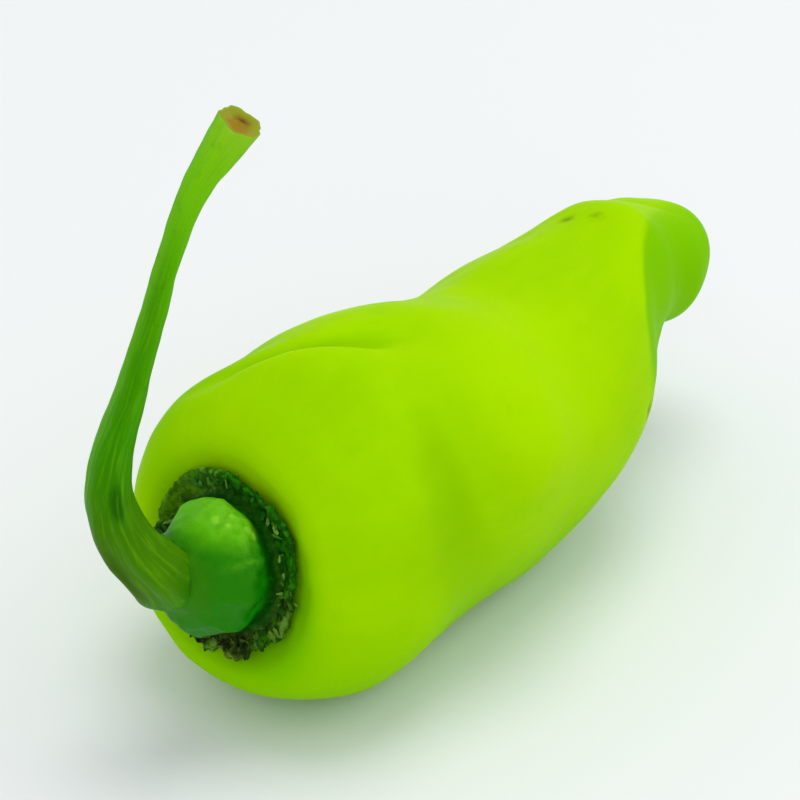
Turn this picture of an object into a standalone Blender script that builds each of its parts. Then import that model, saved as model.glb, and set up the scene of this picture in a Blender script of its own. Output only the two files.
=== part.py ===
"""A pimenta de cheiro pepper lying on its belly, in three pieces: pod, calyx and stem.

Metres, +Z up. The origin is the middle of the flat spot that it rests on, and +X runs
along the pod from the calyx to the blossom tip. The driving sizes are in millimetres.
Angles round the pod and the calyx start at +Y and pass over the top.
"""

import bmesh
import bpy
import numpy as np

MM = 0.001
GAP = 0.3

# Where the calyx sits: its distance from the origin, and how far it faces up and sideways
SEAT_X = -26.0
SEAT_TILT = np.radians(12.0)
SEAT_TURN = np.radians(4.0)
SEAT_FADE = 18.0

# Distance along the pod from the calyx seat, radius
POD_PROFILE = [
    (0.8, 0.0), (0.8, 4.0), (0.6, 7.0), (0.1, 8.8), (-0.3, 10.2),
    (0.5, 11.8), (3.2, 13.9), (8.5, 15.4), (16.0, 15.5), (24.0, 14.5),
    (33.0, 13.5), (42.0, 12.7), (49.0, 10.7), (54.5, 8.6), (58.5, 7.4),
    (61.5, 6.7), (65.5, 6.5), (69.3, 4.7), (71.2, 2.1), (71.5, 0.0),
]
# Distance along the pod, then where its middle lies: sideways, and above the surface
POD_MIDDLE = [
    (0.0, 1.0, 16.1), (12.0, 0.2, 15.9), (24.0, 0.0, 16.2), (36.0, 0.0, 13.6),
    (48.0, 0.0, 16.0), (56.0, 0.4, 19.4), (60.5, 0.8, 19.5), (66.0, 0.8, 18.1),
    (72.0, 0.5, 18.6),
]
# Lobes round the pod: how many, share of the radius, angle of a crest, twist in degrees per mm
POD_LOBES = [(3, 0.022, 98.0, 0.8), (5, 0.006, 10.0, -0.5)]
# The relief comes in between these radii, outside the calyx seat
POD_MOUTH = (8.5, 12.5)
TIP_BLEND = 6.0
# Place along the pod, angle, height, half length, half width in degrees
POD_FORMS = {
    "shoulder lobe": (2.6, 38.0, 1.1, 4.5, 20.0),
    "back lobe": (11.0, 66.0, -0.3, 5.0, 12.0),
    "top saddle": (33.0, 118.0, 1.5, 8.0, 20.0),
    "front bulge": (23.5, 160.0, 1.7, 5.0, 17.0),
    "upper bulge": (23.0, 134.0, 0.7, 4.5, 15.0),
    "long bulge": (34.0, 161.0, 1.6, 7.0, 17.0),
    "belly": (24.0, 270.0, 2.2, 9.0, 30.0),
}
# Folds and edges in the skin, as lines over it: distance along, angle, height, half width
POD_LINES = {
    "lobe groove": [
        (2.6, 44.0, 0.0, 1.3), (4.6, 54.0, -0.5, 1.2), (7.2, 64.0, -0.8, 1.1),
        (9.8, 74.0, -1.1, 1.1), (12.8, 82.0, -1.4, 1.1), (15.4, 89.0, -1.5, 1.2),
        (17.4, 95.5, -1.4, 1.3), (19.2, 101.0, -1.0, 1.5), (21.4, 106.0, -0.4, 1.8),
        (23.5, 110.0, 0.0, 2.0)],
    "front valley": [
        (16.4, 100.0, 0.0, 2.2), (15.2, 113.0, -0.7, 2.4), (14.2, 130.0, -1.1, 2.6),
        (13.4, 150.0, -1.4, 2.8), (13.6, 176.0, -1.2, 3.0), (15.8, 200.0, -1.3, 3.6),
        (18.0, 222.0, -1.1, 3.8), (19.0, 245.0, 0.0, 3.2)],
    "lobe crest": [
        (2.0, 68.0, 0.0, 2.0), (6.2, 78.0, 0.35, 2.2), (10.0, 89.0, 0.55, 2.2),
        (12.6, 99.0, 0.55, 2.2), (13.2, 111.0, 0.3, 2.4), (12.6, 126.0, 0.0, 2.4)],
    "back ridge": [
        (28.0, 84.0, 0.0, 2.0), (34.0, 80.0, 0.6, 2.0), (42.0, 79.0, 0.9, 2.0),
        (49.0, 82.0, 0.7, 2.0), (54.0, 90.0, 0.0, 2.0)],
    "tip rim": [
        (64.0, 88.0, 0.0, 2.4), (62.6, 98.0, 0.5, 2.5), (60.6, 108.0, 1.0, 2.6),
        (57.8, 118.0, 1.3, 2.8), (54.6, 127.0, 1.1, 2.9), (51.4, 137.0, 0.7, 3.0),
        (48.8, 149.0, 0.3, 3.2), (47.0, 164.0, 0.4, 3.5), (46.4, 184.0, 0.9, 3.8),
        (45.8, 204.0, 0.5, 4.0), (45.6, 218.0, 0.0, 4.0)],
    "nub fold": [
        (66.5, 84.0, 0.0, 1.4), (65.8, 95.0, -0.3, 1.5), (64.2, 106.0, -0.7, 1.6),
        (61.4, 117.0, -1.0, 1.6), (58.2, 127.0, -1.2, 1.6), (55.0, 137.0, -1.3, 1.5),
        (52.8, 149.0, -1.2, 1.5), (52.0, 164.0, -1.0, 1.6), (52.8, 188.0, -0.7, 1.7),
        (55.5, 225.0, 0.0, 1.7)],
}
POD_AROUND = 80
POD_RINGS = 56

# Radius, height above the seat: from the flat middle of the dome, over its edge and down its
# wall, out to the margin, then back below
CALYX_PROFILE = [
    (0.0, 6.4), (2.2, 6.4), (3.5, 6.3), (4.4, 5.85), (5.15, 5.05), (5.75, 4.15),
    (5.95, 3.3), (5.85, 2.2), (5.75, 1.2), (5.95, 0.45), (6.5, 0.15), (7.0, 0.35),
    (7.55, 0.7), (7.95, 0.95), (8.2, 0.8), (8.2, 0.4), (7.8, 0.05), (6.9, -0.3),
    (4.0, -0.5), (0.0, -0.5),
]
# Lobes and waves of the margin: how many, share of the radius or mm, angle of a crest
CALYX_LOBES = [(5, 0.03, -7.0), (3, 0.02, 40.0)]
CALYX_FRILL = (7, 0.18, 20.0)
CALYX_MARGIN = (6.3, 7.9)
# Angles of the dome's corners, and how much flatter than a straight edge it is between them
DOME_CORNERS = (8.0, 39.0, 66.0, 95.0, 120.0, 153.0, 187.0, 222.0, 262.0, 300.0, 335.0)
CORNER_POWER = 1.6
CALYX_AROUND = 72
CALYX_RINGS = 32

# How far the stem's foot lies from the middle of the dome, sideways and up
STEM_SHIFT = (0.9, 0.3)
# The stem leaves the dome squarely for this far, then passes through these points
STEM_STRAIGHT = 2.0
STEM_PATH = [
    (-36.4, 2.8, 20.8), (-37.9, 3.9, 26.6), (-37.5, 3.9, 31.0), (-35.4, 3.2, 36.8),
    (-33.1, 2.6, 42.8), (-31.1, 2.0, 48.4), (-28.4, 1.4, 53.4), (-24.1, 0.1, 58.2),
]
# Distance along the stem, radius: flared foot, thick bend, thin middle, flared cut end
STEM_RADII = [
    (0.0, 3.3), (1.4, 3.0), (3.2, 2.75), (5.6, 2.55), (8.4, 2.38), (12.0, 2.05),
    (15.5, 1.8), (19.5, 1.5), (23.5, 1.25), (28.0, 1.1), (33.0, 1.02), (37.0, 1.06),
    (41.0, 1.25), (44.0, 1.6), (47.0, 1.9), (50.0, 1.98),
]
STEM_RIBS = 5
STEM_RIB_HEIGHT = 0.07
STEM_AROUND = 20
STEM_POINTS = 44

# Linear colours
POD_COLOUR = (0.33, 0.62, 0.004, 1.0)
CALYX_COLOUR = (0.012, 0.17, 0.004, 1.0)
STEM_COLOUR = (0.075, 0.24, 0.014, 1.0)

CURVE_SAMPLES = 2000
LINE_SAMPLES = 28


def clear_scene():
    for obj in list(bpy.data.objects):
        bpy.data.objects.remove(obj, do_unlink=True)


def smooth_step(low, high, value):
    share = np.clip((value - low) / (high - low), 0.0, 1.0)
    return share * share * (3.0 - 2.0 * share)


def curve_through(points, count):
    """Evenly timed points on the Catmull-Rom curve that passes through the given ones."""
    points = np.asarray(points, float)
    before = 2.0 * points[0] - points[1]
    after = 2.0 * points[-1] - points[-2]
    points = np.vstack([before, points, after])
    spans = len(points) - 3
    place = np.linspace(0.0, spans, count)
    index = np.minimum(place.astype(int), spans - 1)
    f = (place - index)[:, None]
    a, b, c, d = (points[index + step] for step in range(4))
    square_term = 2.0 * a - 5.0 * b + 4.0 * c - d
    cube_term = 3.0 * b - a - 3.0 * c + d
    return 0.5 * (2.0 * b + (c - a) * f + square_term * f**2 + cube_term * f**3)


def lengths_along(points):
    steps = np.linalg.norm(np.diff(points, axis=0), axis=1)
    return np.concatenate([[0.0], np.cumsum(steps)])


def read_profile(profile, t):
    """Both coordinates of a profile at the shares t of its own length."""
    curve = curve_through(profile, CURVE_SAMPLES)
    length = lengths_along(curve)
    share = length / length[-1]
    return np.interp(t, share, curve[:, 0]), np.interp(t, share, curve[:, 1])


def seat_frame():
    """The middle of the calyx seat, then its sideways, upward and outward directions."""
    side = np.array([np.sin(SEAT_TURN), np.cos(SEAT_TURN), 0.0])
    up = np.array([np.sin(SEAT_TILT), 0.0, np.cos(SEAT_TILT)])
    outward = np.cross(up, side)
    outward /= np.linalg.norm(outward)
    middle = np.array([SEAT_X, POD_MIDDLE[0][1], POD_MIDDLE[0][2]])
    return middle, side, up, outward


def wave(count, share, crest, angle):
    return share * np.cos(count * (angle - np.radians(crest)))


def bell(offset, width):
    return np.exp(-0.5 * (offset / width) ** 2)


def turn_from(angle, degrees):
    """How far an angle lies past another, in degrees from -180 to 180."""
    return (np.degrees(angle) - degrees + 180.0) % 360.0 - 180.0


def line_relief(line, along, angle, radius):
    """The line is a chain of short straight pieces. The relief is the height at the nearest
    point of the chain, times a bell of the distance to it over the skin."""
    chain = curve_through(line, LINE_SAMPLES)
    nearest = np.full(along.shape, np.inf)
    height = np.zeros(along.shape)
    width = np.ones(along.shape)
    for start, step in zip(chain, np.diff(chain, axis=0)):
        ahead = along - start[0]
        beside = np.radians(turn_from(angle, start[1])) * radius
        step_beside = np.radians(step[1]) * radius
        share = (ahead * step[0] + beside * step_beside) / (step[0] ** 2 + step_beside**2)
        share = np.clip(share, 0.0, 1.0)
        distance = np.hypot(ahead - share * step[0], beside - share * step_beside)
        closer = distance < nearest
        nearest = np.where(closer, distance, nearest)
        height = np.where(closer, start[2] + share * step[2], height)
        width = np.where(closer, start[3] + share * step[3], width)
    return height * bell(nearest, width)


def pod_radius(t, angle, along, radius):
    """The profile's radius, with the lobes, the local forms and the lines added."""
    outside = np.where(t < 0.5, smooth_step(*POD_MOUTH, radius), 1.0)
    lobes = sum(
        wave(count, share, crest + twist * along, angle)
        for count, share, crest, twist in POD_LOBES
    )
    total = radius * (1.0 + outside * lobes)
    for place, centre, height, half_length, half_width in POD_FORMS.values():
        form = bell(along - place, half_length) * bell(turn_from(angle, centre), half_width)
        total = total + outside * height * form * smooth_step(0.0, TIP_BLEND, radius)
    for line in POD_LINES.values():
        total = total + outside * line_relief(line, along, angle, radius)
    return total


def pod_surface(t, angle):
    """Upright sections along the pod's middle line. Those near the seat lean with it, and
    the underside settles flat on the surface at height 0."""
    along, radius = read_profile(POD_PROFILE, t)
    middle = curve_through(POD_MIDDLE, CURVE_SAMPLES)
    sideways = np.interp(along, middle[:, 0], middle[:, 1])
    height = np.interp(along, middle[:, 0], middle[:, 2])
    total = pod_radius(t, angle, along, radius)
    across = total * np.cos(angle)
    above = total * np.sin(angle)
    near_seat = 1.0 - smooth_step(0.0, SEAT_FADE, along)
    tilt = SEAT_TILT * near_seat
    turn = SEAT_TURN * near_seat
    x = SEAT_X + along + above * np.sin(tilt) + across * np.sin(turn)
    y = sideways + across * np.cos(turn)
    z = height + above * np.cos(tilt)
    return np.column_stack([x, y, np.maximum(z, 0.0)])


def dome_facets(angle):
    """How far a straight edge between two corners lies inside the circle through them: the
    cosine of half the gap over the cosine of the angle from the gap's middle."""
    corners = np.radians(DOME_CORNERS)
    after = np.searchsorted(corners, angle % (2.0 * np.pi)) % len(corners)
    before = corners[after - 1]
    half = 0.5 * ((corners[after] - before) % (2.0 * np.pi))
    offset = (angle - before) % (2.0 * np.pi) - half
    return (np.cos(half) / np.cos(offset)) ** CORNER_POWER


def calyx_surface(t, angle):
    """The calyx profile turned round the seat's axis. Its dome is cut into flat facets, and
    its margin is lobed and waves up and down."""
    radius, height = read_profile(CALYX_PROFILE, t)
    margin = smooth_step(*CALYX_MARGIN, radius)
    lobes = sum(wave(*lobe, angle) for lobe in CALYX_LOBES)
    on_dome = (1.0 - margin) * smooth_step(0.6, 2.6, height)
    facets = on_dome * (dome_facets(angle) - 1.0)
    radius = radius * (1.0 + margin * lobes + facets)
    height = height + margin * smooth_step(-0.2, 0.5, height) * wave(*CALYX_FRILL, angle)
    middle, side, up, outward = seat_frame()
    across = (radius * np.cos(angle))[:, None] * side
    above = (radius * np.sin(angle))[:, None] * up
    return middle + across + above + height[:, None] * outward


def ball_by_formula(name, surface, around, rings):
    """A UV sphere whose vertices move to surface(t, angle), with t from 0 to 1, pole to pole.
    Both surfaces here turn the other way than the sphere does, so its faces are reversed."""
    bm = bmesh.new()
    bmesh.ops.create_uvsphere(bm, u_segments=around, v_segments=rings, radius=1.0)
    place = np.array([vertex.co for vertex in bm.verts])
    t = np.arccos(np.clip(place[:, 2], -1.0, 1.0)) / np.pi
    angle = np.arctan2(place[:, 1], place[:, 0])
    for vertex, point in zip(bm.verts, surface(t, angle) * MM):
        vertex.co = point
    bmesh.ops.reverse_faces(bm, faces=bm.faces)
    mesh = bpy.data.meshes.new(name)
    bm.to_mesh(mesh)
    bm.free()
    mesh.shade_smooth()
    return bpy.data.objects.new(name, mesh)


def stem_section():
    """The ribbed outline that is carried along the stem, 1 mm in radius. It runs clockwise,
    so that the sides of the stem face outwards, as its caps do."""
    angle = -np.linspace(0.0, 2.0 * np.pi, STEM_AROUND, endpoint=False)
    radius = MM * (1.0 + STEM_RIB_HEIGHT * np.cos(STEM_RIBS * angle))
    outline = bpy.data.curves.new("stem_section", "CURVE")
    spline = outline.splines.new("POLY")
    spline.points.add(STEM_AROUND - 1)
    spline.use_cyclic_u = True
    for point, turn, reach in zip(spline.points, angle, radius):
        point.co = (reach * np.cos(turn), reach * np.sin(turn), 0.0, 1.0)
    section = bpy.data.objects.new("stem_section", outline)
    section.hide_render = True
    section.display_type = "WIRE"
    return section


def stem_path():
    middle, side, up, outward = seat_frame()
    foot = middle + STEM_SHIFT[0] * side + STEM_SHIFT[1] * up
    foot = foot + (CALYX_PROFILE[0][1] + GAP) * outward
    knee = foot + STEM_STRAIGHT * outward
    return curve_through([foot, knee, *STEM_PATH], STEM_POINTS)


def build_stem(section):
    """A curve with the ribbed section, scaled at each point by the stem's radius there."""
    path = stem_path()
    radii = curve_through(STEM_RADII, CURVE_SAMPLES)
    radius = np.interp(lengths_along(path), radii[:, 0], radii[:, 1])
    curve = bpy.data.curves.new("stem", "CURVE")
    curve.dimensions = "3D"
    curve.bevel_mode = "OBJECT"
    curve.bevel_object = section
    curve.use_fill_caps = True
    spline = curve.splines.new("POLY")
    spline.points.add(STEM_POINTS - 1)
    spline.use_smooth = True
    for point, place, reach in zip(spline.points, path * MM, radius):
        point.co = (*place, 1.0)
        point.radius = reach
    return bpy.data.objects.new("stem", curve)


def paint(obj, colour, roughness):
    material = bpy.data.materials.new(obj.name)
    material.use_nodes = True
    shader = material.node_tree.nodes["Principled BSDF"]
    shader.inputs["Base Color"].default_value = colour
    shader.inputs["Roughness"].default_value = roughness
    shader.inputs["Metallic"].default_value = 0.0
    material.diffuse_color = colour
    obj.data.materials.append(material)


def new_collection(name):
    collection = bpy.data.collections.new(name)
    bpy.context.scene.collection.children.link(collection)
    return collection


def main():
    clear_scene()
    pieces = new_collection("pimenta_de_cheiro")
    guides = new_collection("guides")
    section = stem_section()
    guides.objects.link(section)
    pod = ball_by_formula("pod", pod_surface, POD_AROUND, POD_RINGS)
    calyx = ball_by_formula("calyx", calyx_surface, CALYX_AROUND, CALYX_RINGS)
    stem = build_stem(section)
    paint(pod, POD_COLOUR, 0.35)
    paint(calyx, CALYX_COLOUR, 0.4)
    paint(stem, STEM_COLOUR, 0.5)
    for piece in (pod, calyx, stem):
        pieces.objects.link(piece)


main()
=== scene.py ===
import bpy
import numpy as np
from numpy import cos, pi, radians, sin
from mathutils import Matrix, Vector


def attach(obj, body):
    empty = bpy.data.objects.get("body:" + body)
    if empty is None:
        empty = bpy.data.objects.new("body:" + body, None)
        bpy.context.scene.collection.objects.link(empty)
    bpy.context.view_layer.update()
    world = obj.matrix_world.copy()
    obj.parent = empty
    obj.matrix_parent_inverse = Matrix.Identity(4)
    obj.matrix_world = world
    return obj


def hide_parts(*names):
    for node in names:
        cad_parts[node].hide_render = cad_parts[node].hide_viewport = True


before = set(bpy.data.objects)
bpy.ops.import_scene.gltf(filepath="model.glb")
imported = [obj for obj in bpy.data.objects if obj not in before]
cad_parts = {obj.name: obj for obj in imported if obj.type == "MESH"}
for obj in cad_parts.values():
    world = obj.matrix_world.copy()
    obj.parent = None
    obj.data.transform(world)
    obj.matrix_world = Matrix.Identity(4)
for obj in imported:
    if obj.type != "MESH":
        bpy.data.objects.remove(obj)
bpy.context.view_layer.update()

mm = 0.001
fullTurn = 2.0 * pi
tiny = 1e-9  # keeps a division away from zero
curveSamples = 2000
lineSamples = 28


def addObject(name, data):
    made = bpy.data.objects.new(name, data)
    bpy.context.collection.objects.link(made)
    return made


# A camera or a lamp at a place, looking along a direction
def aimFrom(made, place, direction):
    made.location = place
    made.rotation_mode = "QUATERNION"
    made.rotation_quaternion = Vector(direction).to_track_quat("-Z", "Y")


# The photograph's viewpoint, closed in on this one pepper
cameraValues = {
    "eye": (-225.3, -168.7, 186.4),  # mm
    "heading": 41.5,  # degrees from +X towards +Y
    "down": 26.3,  # degrees below level
    "focalPixels": 1242,  # of the whole photograph
    "photoMiddle": (400, 400),
    "aimPixel": (481.5, 493),  # the pixel of the photograph in the middle of this frame
    "pixelsAcross": 280,  # how much of the photograph this frame spans
    "sensor": 36,
    "clip": (0.01, 20),  # metres
}


# The direction through a pixel is the focal length times forward, plus the pixel's offset
# times right, less its drop times up
def addCamera(v):
    heading, down = radians(v["heading"]), radians(v["down"])
    level = np.array([cos(heading), sin(heading), 0.0])
    forward = level * cos(down) - np.array([0.0, 0.0, sin(down)])
    right = np.array([sin(heading), -cos(heading), 0.0])
    up = np.cross(right, forward)
    offset, drop = np.subtract(v["aimPixel"], v["photoMiddle"])
    aim = v["focalPixels"] * forward + offset * right - drop * up
    data = bpy.data.cameras.new("photoCamera")
    data.sensor_width = v["sensor"]
    data.lens = v["sensor"] * np.linalg.norm(aim) / v["pixelsAcross"]
    data.clip_start, data.clip_end = v["clip"]
    bpy.context.scene.camera = addObject("photoCamera", data)
    aimFrom(bpy.context.scene.camera, Vector(v["eye"]) * mm, aim)


addCamera(cameraValues)
bpy.context.scene.view_settings.view_transform = "Standard"
print("camera placed")


# 0 below low, 1 above high, between them three times the square of the share less twice its cube
def smoothStep(low, high, value):
    share = np.clip((value - low) / (high - low), 0.0, 1.0)
    return share * share * (3.0 - 2.0 * share)


# e to the power of minus half the square of the offset, counted in widths
def bell(offset, width):
    return np.exp(-0.5 * (offset / width) ** 2)


# The same angle from -180 to 180
def wrapDegrees(angle):
    return (angle + 180.0) % 360.0 - 180.0


# A bell of the shorter way round to a centre, all in degrees
def turnBell(degrees, centre, reach):
    return bell(wrapDegrees(degrees - centre), reach)


# The way round to a centre in mm over the skin: the angle in radians times the radius
def arcLength(degrees, centre, radius):
    return radians(wrapDegrees(degrees - centre)) * radius


# The largest of the spots' bells of the distance over the skin: place along, angle, half width
def spotMarks(spots, degrees, along, radius):
    marks = np.zeros_like(along)
    for place, centre, size in spots:
        beside = arcLength(degrees, centre, radius)
        marks = np.maximum(marks, bell(np.hypot(beside, along - place), size))
    return marks


# Catmull-Rom: each span is a cubic whose slope at a point is half the step between its neighbours
def curveThrough(points, count):
    points = np.asarray(points, float)
    before = 2.0 * points[0] - points[1]
    after = 2.0 * points[-1] - points[-2]
    points = np.vstack([before, points, after])
    spans = len(points) - 3
    place = np.linspace(0.0, spans, count)
    index = np.minimum(place.astype(int), spans - 1)
    f = (place - index)[:, None]
    a, b, c, d = (points[index + step] for step in range(4))
    squareTerm = 2.0 * a - 5.0 * b + 4.0 * c - d
    cubeTerm = 3.0 * b - a - 3.0 * c + d
    return 0.5 * (2.0 * b + (c - a) * f + squareTerm * f**2 + cubeTerm * f**3)


# The length of a line up to each of its points: the running sum of its steps
def lengthsAlong(points):
    steps = np.linalg.norm(np.diff(points, axis=0), axis=1)
    return np.concatenate([[0.0], np.cumsum(steps)])


# Every column of a table at the given places, straight between its rows
def readTable(place, places, table):
    return [np.interp(place, places, table[:, k]) for k in range(table.shape[1])]


# Every coordinate of a profile at the given shares of its own length
def readProfile(profile, share):
    curve = curveThrough(profile, curveSamples)
    length = lengthsAlong(curve)
    return readTable(share, length / length[-1], curve)


# The grid of a turned piece: shares of its profile down the rows, angles across the columns
def turnedGrid(v):
    share = np.linspace(0.0, 1.0, v["rings"])[:, None] * np.ones(v["around"])
    angle = np.linspace(0.0, fullTurn, v["around"], endpoint=False) * np.ones((v["rings"], 1))
    return share, angle


# Points of a tube: the radius times the cosine and the sine of the angle, then the place along it
def tubePlaces(radius, angle, along):
    return np.stack([radius * cos(angle), radius * sin(angle), along], axis=-1)


# A sum of plane waves in random directions, about one bump per size, near -1 to 1
def softNoise(points, size, seed, waves):
    draw = np.random.default_rng(seed)
    direction = draw.normal(size=(waves, 3))
    direction /= np.linalg.norm(direction, axis=1, keepdims=True)
    pitch = size * draw.uniform(0.75, 1.5, waves)
    phase = draw.uniform(0.0, fullTurn, waves)
    total = np.zeros(points.shape[:-1])
    for k in range(waves):
        total += cos(fullTurn * (points @ direction[k]) / pitch[k] + phase[k])
    return total / np.sqrt(2.0 * waves)


# The sum of layers of noise, each its height times the noise: mm high, size, seed, waves
def noiseLayers(points, layers):
    return sum(height * softNoise(points, *rest) for height, *rest in layers)


# The unit normal of a grid: the cross product of its two tangents, with the columns wrapping round
def gridNormals(grid):
    down = np.gradient(grid, axis=0)
    across = np.roll(grid, -1, axis=1) - np.roll(grid, 1, axis=1)
    normal = np.cross(across, down)
    size = np.linalg.norm(normal, axis=2, keepdims=True)
    return normal / np.maximum(size, tiny)


# A closed mesh from a grid of rings in mm, or one body for each of a stack of grids. The first and the
# last ring become one point each. extras are point attributes on the same grids: numbers or triples
def meshFromGrids(name, grids, extras):
    grids = grids.reshape(-1, *grids.shape[-3:])
    bodies, rings, around = grids.shape[:3]

    def joinRings(values):
        rows = values.reshape(bodies, rings, around, -1)
        first, last = rows[:, :1].mean(axis=2), rows[:, -1:].mean(axis=2)
        inner = rows[:, 1:-1].reshape(bodies, -1, rows.shape[-1])
        return np.concatenate([first, inner, last], axis=1)

    points = joinRings(grids)
    perBody = points.shape[1]
    column = np.arange(around)
    following = (column + 1) % around
    start = 1 + np.arange(rings - 3)[:, None] * around
    quads = np.stack([start + column, start + following,
                      start + around + following, start + around + column], axis=-1).reshape(-1, 4)
    lastRing = 1 + (rings - 3) * around
    firstFan = np.stack([np.zeros(around, int), 1 + following, 1 + column], axis=-1)
    lastFan = np.stack([np.full(around, perBody - 1), lastRing + column, lastRing + following], axis=-1)
    fans = np.vstack([firstFan, lastFan])
    offset = np.arange(bodies)[:, None, None] * perBody
    quads = (quads + offset).reshape(-1, 4)
    fans = (fans + offset).reshape(-1, 3)
    corners = np.concatenate([quads.ravel(), fans.ravel()])
    starts = np.concatenate([np.arange(len(quads)) * 4, quads.size + np.arange(len(fans)) * 3])
    mesh = bpy.data.meshes.new(name)
    mesh.vertices.add(bodies * perBody)
    mesh.vertices.foreach_set("co", (points * mm).ravel())
    mesh.loops.add(len(corners))
    mesh.loops.foreach_set("vertex_index", corners.astype(np.int32))
    mesh.polygons.add(len(starts))
    mesh.polygons.foreach_set("loop_start", starts.astype(np.int32))
    mesh.update(calc_edges=True)
    mesh.validate()
    for label, values in extras.items():
        rows = joinRings(values)
        kind = "FLOAT" if rows.shape[-1] == 1 else "FLOAT_VECTOR"
        layer = mesh.attributes.new(label, kind, "POINT")
        layer.data.foreach_set("value" if kind == "FLOAT" else "vector",
                               rows.astype(np.float32).ravel())
    mesh.shade_smooth()
    return mesh


# Puts a mesh in the scene as a piece of the root body, in place of its CAD nodes
def addPiece(name, mesh, material, nodes):
    piece = addObject(name, mesh)
    mesh.materials.append(material)
    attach(piece, "root")
    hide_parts(*nodes)
    print(name, len(mesh.vertices), "vertices")


# A value in a material. Arithmetic between wires and numbers adds Math nodes
class Wire:
    def __init__(self, paint, socket):
        self.paint = paint
        self.socket = socket

    def maths(self, operation, first, second):
        return self.paint.node("ShaderNodeMath", {"operation": operation}, {0: first, 1: second})

    def __add__(self, other):
        return self.maths("ADD", self, other)

    def __radd__(self, other):
        return self.maths("ADD", other, self)

    def __sub__(self, other):
        return self.maths("SUBTRACT", self, other)

    def __rsub__(self, other):
        return self.maths("SUBTRACT", other, self)

    def __mul__(self, other):
        return self.maths("MULTIPLY", self, other)

    def __rmul__(self, other):
        return self.maths("MULTIPLY", other, self)

    def __truediv__(self, other):
        return self.maths("DIVIDE", self, other)

    def __rtruediv__(self, other):
        return self.maths("DIVIDE", other, self)


# One material on a Principled shader. Fixed numbers go straight onto the shader's own sockets
class Paint:
    def __init__(self, name, fixed):
        self.material = bpy.data.materials.new(name)
        self.material.use_nodes = True
        self.tree = self.material.node_tree
        self.shader = self.tree.nodes["Principled BSDF"]
        for socket, value in fixed.items():
            self.shader.inputs[socket].default_value = value

    # Any node: its type, its settings, the values or wires of its sockets, and which output
    def node(self, kind, settings=None, sockets=None, output=0):
        made = self.tree.nodes.new(kind)
        for key, value in (settings or {}).items():
            if key == "stops":
                self.setStops(made.color_ramp, value)
            else:
                setattr(made, key, value)
        for key, value in (sockets or {}).items():
            if isinstance(value, Wire):
                self.tree.links.new(value.socket, made.inputs[key])
            else:
                made.inputs[key].default_value = value
        return Wire(self, made.outputs[output])

    def setStops(self, ramp, stops):
        while len(ramp.elements) > 1:
            ramp.elements.remove(ramp.elements[-1])
        for number, (place, colour) in enumerate(stops):
            stop = ramp.elements[0] if number == 0 else ramp.elements.new(place)
            stop.position = place
            stop.color = (*colour, 1.0)

    def feed(self, socket, wire):
        self.tree.links.new(wire.socket, self.shader.inputs[socket])

    def objectPlace(self):
        return self.node("ShaderNodeTexCoord", output="Object")

    def attribute(self, label, output="Fac"):
        return self.node("ShaderNodeAttribute", {"attribute_name": label}, output=output)

    def part(self, vector, index):
        return self.node("ShaderNodeSeparateXYZ", {}, {0: vector}, output=index)

    def stretch(self, place, scale):
        return self.node("ShaderNodeVectorMath", {"operation": "MULTIPLY"}, {0: place, 1: scale})

    def noise(self, place, scale, detail, roughness):
        return self.node("ShaderNodeTexNoise", {},
                         {"Vector": place, "Scale": scale, "Detail": detail, "Roughness": roughness})

    # 0 below low, 1 above high, smooth between
    def step(self, value, low, high):
        return self.node("ShaderNodeMapRange", {"interpolation_type": "SMOOTHSTEP"},
                         {"Value": value, "From Min": low, "From Max": high})

    def mix(self, factor, first, second):
        first = first if isinstance(first, Wire) else (*first, 1.0)
        second = second if isinstance(second, Wire) else (*second, 1.0)
        return self.node("ShaderNodeMix", {"data_type": "RGBA"},
                         {0: factor, 6: first, 7: second}, output=2)

    # From one colour to another as a value goes from low to high
    def blend(self, value, low, high, first, second):
        return self.mix(self.step(value, low, high), first, second)

    # A colour laid over another by a mask, at most by its share
    def tint(self, under, mask, share, colour):
        return self.mix(mask * share, under, colour)

    # The same for each named layer in turn: it grows as its own value goes from low to high
    def layers(self, under, looks, **values):
        for name, value in values.items():
            low, high, share, colour = looks[name]
            under = self.tint(under, self.step(value, low, high), share, colour)
        return under

    def ramp(self, value, stops):
        return self.node("ShaderNodeValToRGB", {"stops": stops}, {"Fac": value})

    def bump(self, height, distance, strength):
        self.feed("Normal", self.node("ShaderNodeBump", {},
                                      {"Height": height, "Distance": distance, "Strength": strength}))


# Where the calyx sits on the pod
seatValues = {
    "x": -26,
    "tilt": 12,  # degrees that it faces up
    "turn": 4,  # degrees that it faces sideways
    "fade": 18,  # mm of the pod that lean with it
}


# The middle of the seat, then its sideways, upward and outward directions
def seatFrame(v, middleLine):
    tilt, turn = radians(v["tilt"]), radians(v["turn"])
    side = np.array([sin(turn), cos(turn), 0.0])
    up = np.array([sin(tilt), 0.0, cos(tilt)])
    outward = np.cross(up, side)
    outward /= np.linalg.norm(outward)
    return np.array([v["x"], middleLine[0][1], middleLine[0][2]]), side, up, outward


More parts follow.
